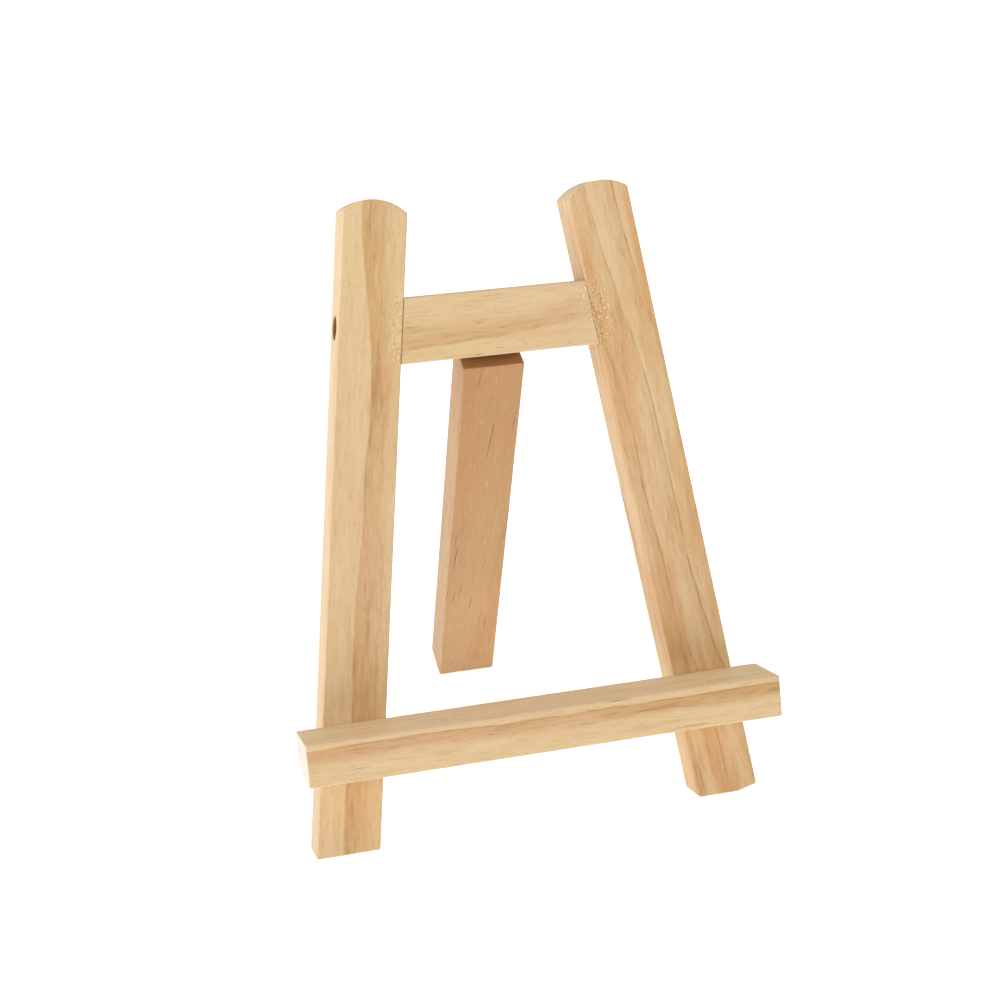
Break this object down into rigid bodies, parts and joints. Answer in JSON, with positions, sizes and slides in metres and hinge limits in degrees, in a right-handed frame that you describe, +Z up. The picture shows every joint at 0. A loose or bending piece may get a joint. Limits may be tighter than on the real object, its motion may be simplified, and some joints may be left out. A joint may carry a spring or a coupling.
{
  "type": "plate display stand",
  "caption": "Tabletop A-frame stand of light pine: two splayed uprights, a cross rail, a front ledge that carries a plate, and a rear leg on a small butt hinge.",
  "frame": {"origin": "middle of the footprint, on the surface the stand rests on", "axes": "+Z up, +Y from the ledge in front to the leg behind, +X to the viewer's right"},
  "size_m": [0.18, 0.146, 0.2292],
  "materials": {
    "pine_upright": "satin",
    "pine_rail": "satin",
    "pine_leg": "satin",
    "hinge_brass": "satin",
    "screw_steel": "satin"
  },
  "bodies": {
    "frame": {"left_upright": "pine_upright", "right_upright": "pine_upright", "cross_rail": "pine_rail", "front_ledge": "pine_rail", "hinge_rail_leaf": "hinge_brass", "hinge_pin": "hinge_brass", "hinge_screw_rail_left": "hinge_brass", "hinge_screw_rail_right": "hinge_brass", "rail_screw_left": "screw_steel", "rail_screw_right": "screw_steel", "ledge_screw_left": "screw_steel", "ledge_screw_right": "screw_steel"},
    "leg": {"rear_leg": "pine_leg", "hinge_leg_leaf": "hinge_brass", "hinge_screw_leg_left": "hinge_brass", "hinge_screw_leg_right": "hinge_brass"}
  },
  "joints": [
    {"name": "leg_fold", "type": "hinge", "parent": "frame", "child": "leg", "pos_m": [0, 0.01641, 0.16819], "axis": [1, 0, 0], "range_deg": [-36.5, 50]}
  ]
}
